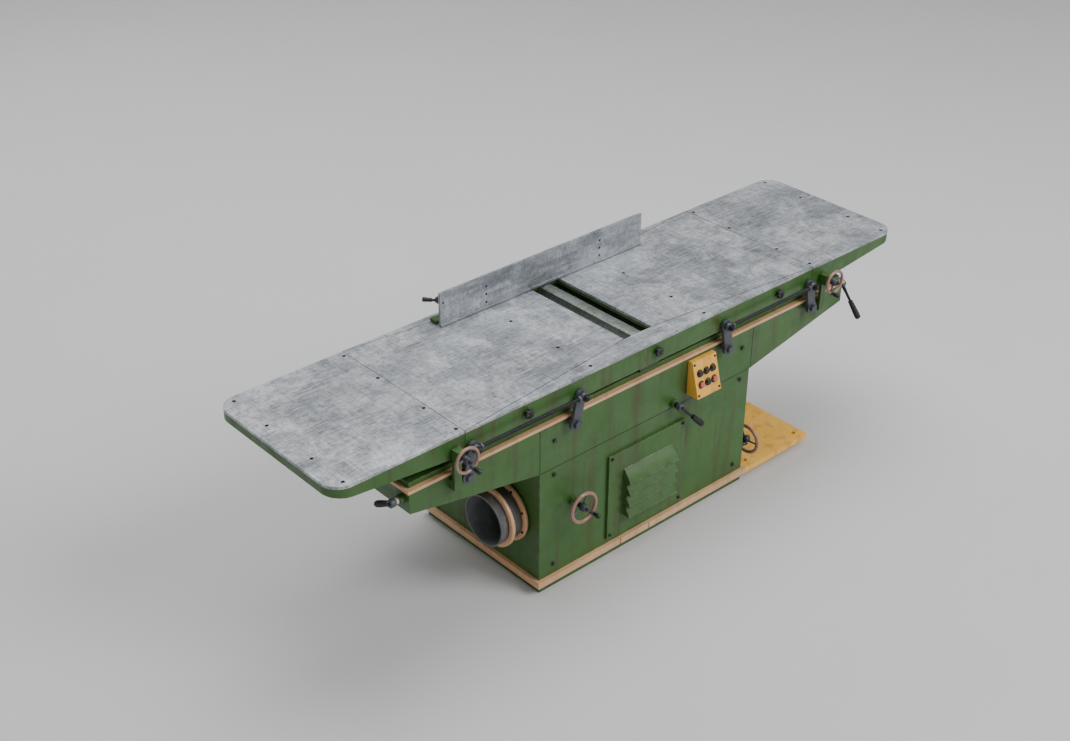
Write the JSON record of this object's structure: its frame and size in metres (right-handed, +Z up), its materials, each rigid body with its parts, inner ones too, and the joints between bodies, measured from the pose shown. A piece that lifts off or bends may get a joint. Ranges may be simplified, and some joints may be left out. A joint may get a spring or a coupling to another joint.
{
  "type": "jointer",
  "caption": "Surface planer with two long lever-lifted tables, a belt-driven cutterhead, a sliding tilting fence and a louvred cabinet.",
  "frame": {"origin": "on the floor under the plinth, below the middle of the cutterhead", "axes": "+X along the tables towards the infeed end, -Y faces the operator, +Z up"},
  "size_m": [2.74, 0.8495, 0.985],
  "materials": {
    "green_paint": "satin, worn",
    "dark_green_paint": "satin",
    "peach_paint": "satin",
    "ochre_paint": "satin, worn",
    "slate_paint": "satin",
    "dark_steel": "blackened",
    "ground_steel": "ground",
    "machined_steel": "machined",
    "wheel_rim": "satin",
    "black_plastic": "matte",
    "red_plastic": "gloss",
    "belt_rubber": "matte"
  },
  "bodies": {
    "frame": {"plinth": "dark_green_paint", "base_plate": "peach_paint", "platform": "ochre_paint", "cabinet_sides": "green_paint", "cabinet_ends": "green_paint", "door_panel": "green_paint", "louvre_block": "green_paint", "bed_centre": "green_paint", "bed_left": "green_paint", "bed_right": "green_paint", "bed_trim": "peach_paint", "frame_fasteners": "dark_steel", "head_bearings": "dark_green_paint", "chip_chute": "dark_green_paint", "control_box": "ochre_paint", "drive_motor": "slate_paint", "extraction_outlet": "peach_paint", "shaft_bearings": "dark_green_paint", "drive_belt": "belt_rubber", "fence_rail": "dark_green_paint"},
    "outfeed_table": {"outfeed_table": "green_paint", "outfeed_wing": "green_paint", "outfeed_plate": "ground_steel", "outfeed_wing_plate": "ground_steel", "outfeed_screws": "dark_steel"},
    "infeed_table": {"infeed_table": "green_paint", "infeed_wing": "green_paint", "infeed_plate": "ground_steel", "infeed_wing_plate": "ground_steel", "infeed_screws": "dark_steel"},
    "cutterhead": {"cutterhead": "machined_steel", "knife_sets": "machined_steel", "head_pulley": "slate_paint"},
    "motor_rotor": {"motor_pulley": "slate_paint"},
    "fence_carriage": {"fence_foot": "green_paint"},
    "fence": {"fence_plate": "ground_steel", "fence_screws": "dark_steel"},
    "fence_lock": {"fence_lock": "black_plastic"},
    "arm_1": {"arm_1": "slate_paint"},
    "arm_2": {"arm_2": "slate_paint"},
    "arm_3": {"arm_3": "slate_paint"},
    "arm_4": {"arm_4": "slate_paint"},
    "tie_rod_left": {"tie_rod_left": "dark_steel"},
    "tie_rod_right": {"tie_rod_right": "dark_steel"},
    "outfeed_handwheel": {"outfeed_handwheel": "wheel_rim"},
    "infeed_handwheel": {"infeed_handwheel": "wheel_rim"},
    "cabinet_handwheel": {"cabinet_handwheel": "wheel_rim"},
    "end_handwheel": {"end_handwheel": "wheel_rim"},
    "left_clamp_lever": {"left_clamp_lever": "dark_steel"},
    "right_clamp_lever": {"right_clamp_lever": "dark_steel"},
    "front_lever": {"front_lever": "dark_steel"},
    "lock_knob_left": {"lock_knob_left": "black_plastic"},
    "lock_knob_middle": {"lock_knob_middle": "black_plastic"},
    "lock_knob_right": {"lock_knob_right": "black_plastic"},
    "button_1": {"button_1": "black_plastic"},
    "button_2": {"button_2": "black_plastic"},
    "button_3": {"button_3": "black_plastic"},
    "button_4": {"button_4": "red_plastic"},
    "button_5": {"button_5": "black_plastic"},
    "button_6": {"button_6": "red_plastic"}
  },
  "joints": [
    {"name": "outfeed_height", "type": "slide", "parent": "frame", "child": "outfeed_table", "axis": [0, 0, 1], "range_m": [-0.004, 0]},
    {"name": "infeed_height", "type": "slide", "parent": "frame", "child": "infeed_table", "axis": [0, 0, 1], "range_m": [-0.008, 0]},
    {"name": "arm_1_turn", "type": "hinge", "parent": "frame", "child": "arm_1", "pos_m": [-0.86, 0, 0.68], "axis": [0, 1, 0], "range_deg": [-12.04, 0]},
    {"name": "arm_2_turn", "type": "hinge", "parent": "frame", "child": "arm_2", "pos_m": [-0.38528, 0, 0.68], "axis": [0, 1, 0], "range_deg": [-12.04, 0]},
    {"name": "arm_3_turn", "type": "hinge", "parent": "frame", "child": "arm_3", "pos_m": [0.38528, 0, 0.68], "axis": [0, 1, 0], "range_deg": [0, 23.57]},
    {"name": "arm_4_turn", "type": "hinge", "parent": "frame", "child": "arm_4", "pos_m": [0.86, 0, 0.68], "axis": [0, 1, 0], "range_deg": [0, 23.57]},
    {"name": "tie_rod_left_pivot", "type": "hinge", "parent": "arm_1", "child": "tie_rod_left", "pos_m": [-0.83775, -0.36, 0.78466], "axis": [0, 1, 0], "range_deg": [0, 12.04]},
    {"name": "tie_rod_right_pivot", "type": "hinge", "parent": "arm_4", "child": "tie_rod_right", "pos_m": [0.83775, -0.36, 0.78466], "axis": [0, 1, 0], "range_deg": [-23.57, 0]},
    {"name": "outfeed_wheel_turn", "type": "hinge", "parent": "frame", "child": "outfeed_handwheel", "pos_m": [-0.905, -0.398, 0.79], "axis": [0, -1, 0], "range_deg": [-91, 0]},
    {"name": "infeed_wheel_turn", "type": "hinge", "parent": "frame", "child": "infeed_handwheel", "pos_m": [0.92, -0.398, 0.79], "axis": [0, -1, 0], "range_deg": [-181, 0]},
    {"name": "cutterhead_spin", "type": "hinge", "parent": "frame", "child": "cutterhead", "pos_m": [0, 0, 0.7875], "axis": [0, 1, 0], "continuous": true},
    {"name": "motor_spin", "type": "hinge", "parent": "frame", "child": "motor_rotor", "pos_m": [0, 0, 0.205], "axis": [0, 1, 0], "continuous": true},
    {"name": "cabinet_wheel_turn", "type": "hinge", "parent": "frame", "child": "cabinet_handwheel", "pos_m": [-0.37, -0.38, 0.338], "axis": [0, -1, 0], "range_deg": [-180, 180]},
    {"name": "end_wheel_turn", "type": "hinge", "parent": "frame", "child": "end_handwheel", "pos_m": [0.611, -0.285, 0.15], "axis": [1, 0, 0], "range_deg": [-180, 180]},
    {"name": "left_clamp_turn", "type": "hinge", "parent": "frame", "child": "left_clamp_lever", "pos_m": [-1.12, -0.285, 0.668], "axis": [-1, 0, 0], "range_deg": [-45, 30]},
    {"name": "right_clamp_turn", "type": "hinge", "parent": "frame", "child": "right_clamp_lever", "pos_m": [1.12, -0.285, 0.668], "axis": [1, 0, 0], "range_deg": [-30, 60]},
    {"name": "front_lever_turn", "type": "hinge", "parent": "frame", "child": "front_lever", "pos_m": [0.128, -0.352, 0.536], "axis": [0, -1, 0], "range_deg": [-60, 20]},
    {"name": "lock_knob_left_turn", "type": "hinge", "parent": "outfeed_table", "child": "lock_knob_left", "pos_m": [-0.596, -0.3525, 0.808], "axis": [0, -1, 0], "range_deg": [-180, 0]},
    {"name": "lock_knob_middle_turn", "type": "hinge", "parent": "infeed_table", "child": "lock_knob_middle", "pos_m": [0.015, -0.3525, 0.808], "axis": [0, -1, 0], "range_deg": [-180, 0]},
    {"name": "lock_knob_right_turn", "type": "hinge", "parent": "infeed_table", "child": "lock_knob_right", "pos_m": [0.663, -0.3525, 0.808], "axis": [0, -1, 0], "range_deg": [-180, 0]},
    {"name": "button_1_press", "type": "slide", "parent": "frame", "child": "button_1", "axis": [0, 0.9651, -0.262], "range_m": [0, 0.004], "stiffness_N_per_m": 400},
    {"name": "button_2_press", "type": "slide", "parent": "frame", "child": "button_2", "axis": [0, 0.9651, -0.262], "range_m": [0, 0.004], "stiffness_N_per_m": 400},
    {"name": "button_3_press", "type": "slide", "parent": "frame", "child": "button_3", "axis": [0, 0.9651, -0.262], "range_m": [0, 0.004], "stiffness_N_per_m": 400},
    {"name": "button_4_press", "type": "slide", "parent": "frame", "child": "button_4", "axis": [0, 0.9651, -0.262], "range_m": [0, 0.004], "stiffness_N_per_m": 400},
    {"name": "button_5_press", "type": "slide", "parent": "frame", "child": "button_5", "axis": [0, 0.9651, -0.262], "range_m": [0, 0.004], "stiffness_N_per_m": 400},
    {"name": "button_6_press", "type": "slide", "parent": "frame", "child": "button_6", "axis": [0, 0.9651, -0.262], "range_m": [0, 0.004], "stiffness_N_per_m": 400},
    {"name": "fence_slide", "type": "slide", "parent": "frame", "child": "fence_carriage", "axis": [0, -1, 0], "range_m": [0, 0.048]},
    {"name": "fence_tilt", "type": "hinge", "parent": "fence_carriage", "child": "fence", "pos_m": [0, 0.2555, 0.861], "axis": [1, 0, 0], "range_deg": [-45, 0]},
    {"name": "fence_lock_turn", "type": "hinge", "parent": "fence", "child": "fence_lock", "pos_m": [-0.486, 0.274, 0.944], "axis": [0, 1, 0], "range_deg": [0, 60]}
  ],
  "couplings": [
    {"joint": "arm_1_turn", "follows": "outfeed_height", "rad_per_m": 50.341},
    {"joint": "arm_2_turn", "follows": "outfeed_height", "rad_per_m": 50.341},
    {"joint": "tie_rod_left_pivot", "follows": "outfeed_height", "rad_per_m": -50.341},
    {"joint": "arm_3_turn", "follows": "infeed_height", "rad_per_m": -50.341},
    {"joint": "arm_4_turn", "follows": "infeed_height", "rad_per_m": -50.341},
    {"joint": "tie_rod_right_pivot", "follows": "infeed_height", "rad_per_m": 50.341},
    {"joint": "outfeed_wheel_turn", "follows": "outfeed_height", "rad_per_m": 392.7},
    {"joint": "infeed_wheel_turn", "follows": "infeed_height", "rad_per_m": 392.7},
    {"joint": "motor_spin", "follows": "cutterhead_spin", "ratio": 0.41667}
  ]
}
